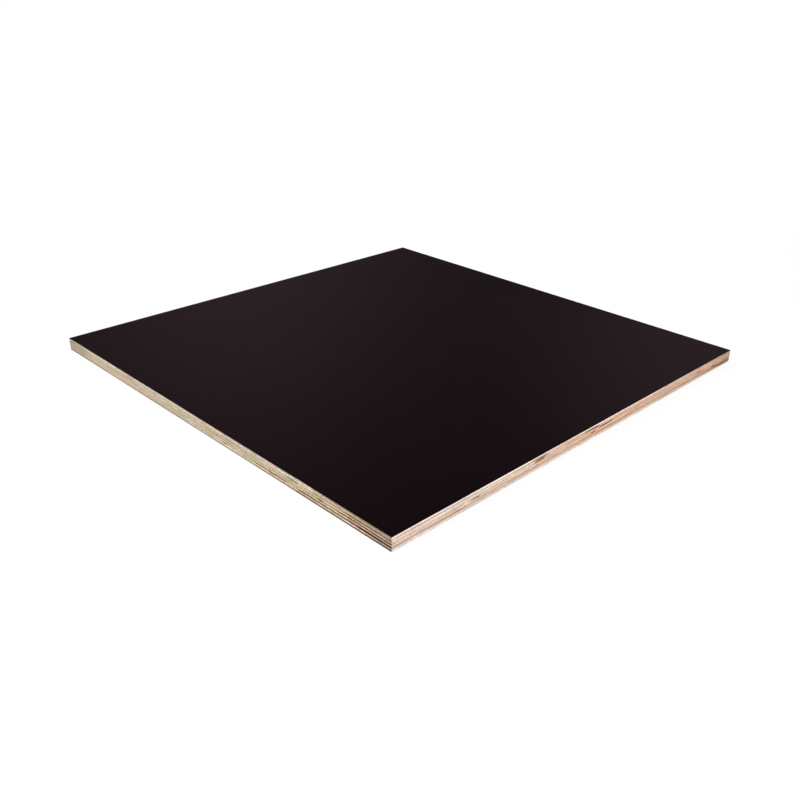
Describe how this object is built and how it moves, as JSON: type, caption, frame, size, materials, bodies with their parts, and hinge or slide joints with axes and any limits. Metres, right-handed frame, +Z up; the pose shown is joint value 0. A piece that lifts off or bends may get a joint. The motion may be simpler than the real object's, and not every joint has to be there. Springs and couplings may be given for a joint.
{
  "type": "film-faced plywood panel",
  "caption": "Square plywood panel of cross-banded veneers between two smooth dark films, with bare sawn edges, for formwork, flooring, shelving and vehicle linings.",
  "frame": {"origin": "middle of the underside, on the surface that the panel lies on", "axes": "+Z up through the thickness; +X along the front edge and the grain of the two face plies; +Y from the front edge to the back edge"},
  "size_m": [0.5, 0.5, 0.0129],
  "materials": {
    "film": "satin",
    "veneer_along_x": "matte",
    "veneer_along_y": "matte"
  },
  "bodies": {
    "root": {"film_bottom": "film", "ply_1_face": "veneer_along_x", "ply_2_cross": "veneer_along_y", "ply_3_long": "veneer_along_x", "ply_4_cross": "veneer_along_y", "ply_5_core": "veneer_along_x", "ply_6_cross": "veneer_along_y", "ply_7_long": "veneer_along_x", "ply_8_cross": "veneer_along_y", "ply_9_face": "veneer_along_x", "film_top": "film"}
  },
  "joints": []
}
